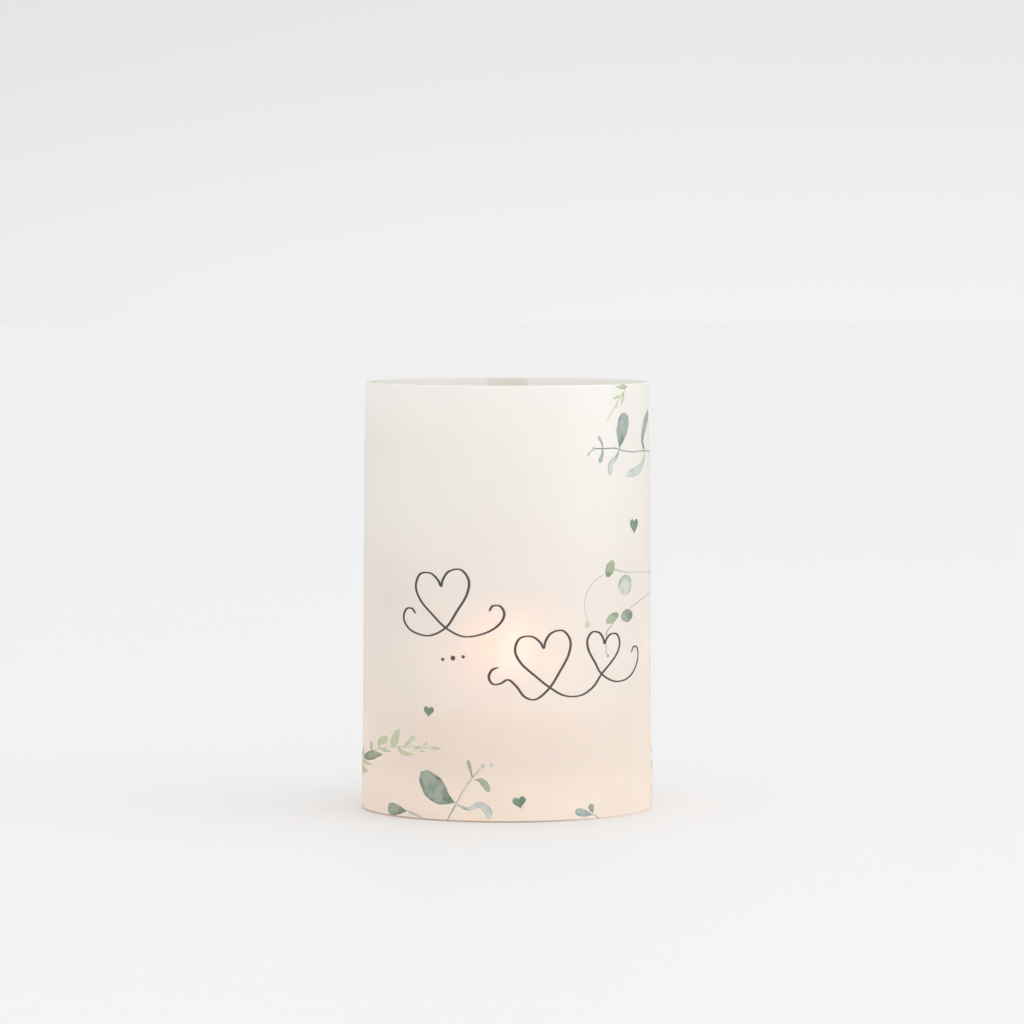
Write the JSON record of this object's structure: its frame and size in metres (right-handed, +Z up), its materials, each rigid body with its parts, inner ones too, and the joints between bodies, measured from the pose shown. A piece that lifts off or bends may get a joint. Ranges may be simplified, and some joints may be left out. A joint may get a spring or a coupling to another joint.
{
  "type": "wedding candle lantern",
  "caption": "Open-topped sleeve of printed vellum with sprigs and small hearts, standing round a glass holder with a burning tealight.",
  "frame": {"origin": "on the table, under the middle of the glass holder", "axes": "+Z up along the axis of the sleeve, the printed front faces -Y, the seam of the sleeve lies at +Y"},
  "size_m": [0.0928, 0.0931, 0.136],
  "materials": {
    "vellum": "translucent vellum, matt, faint cloudy fibre",
    "tape": "clear double-sided adhesive film",
    "glass": "clear pressed glass, polished",
    "cup_clear": "clear moulded polycarbonate, glossy",
    "wax": "white paraffin, waxy, glassy where it has melted",
    "wick_cotton": "braided cotton, charred at the tip",
    "sustainer_steel": "tin-plated stamping",
    "melt_pool": "clear liquid wax",
    "flame": "glowing flame",
    "leaf_print": "watercolour leaves printed on the vellum",
    "ink_print": "dark pen line printed on the vellum"
  },
  "bodies": {
    "holder": {"glass_holder": "glass"},
    "tealight": {"tealight_cup": "cup_clear", "wax": "wax", "wick": "wick_cotton", "wick_sustainer": "sustainer_steel"},
    "sleeve": {"paper_sleeve": "vellum", "seam_tape": "tape"}
  },
  "joints": [
    {"name": "tealight_lift", "type": "slide", "parent": "holder", "child": "tealight", "axis": [0, 0, 1], "range_m": [0, 0.1]},
    {"name": "sleeve_lift", "type": "slide", "parent": "holder", "child": "sleeve", "axis": [0, 0, 1], "range_m": [0, 0.18]}
  ]
}
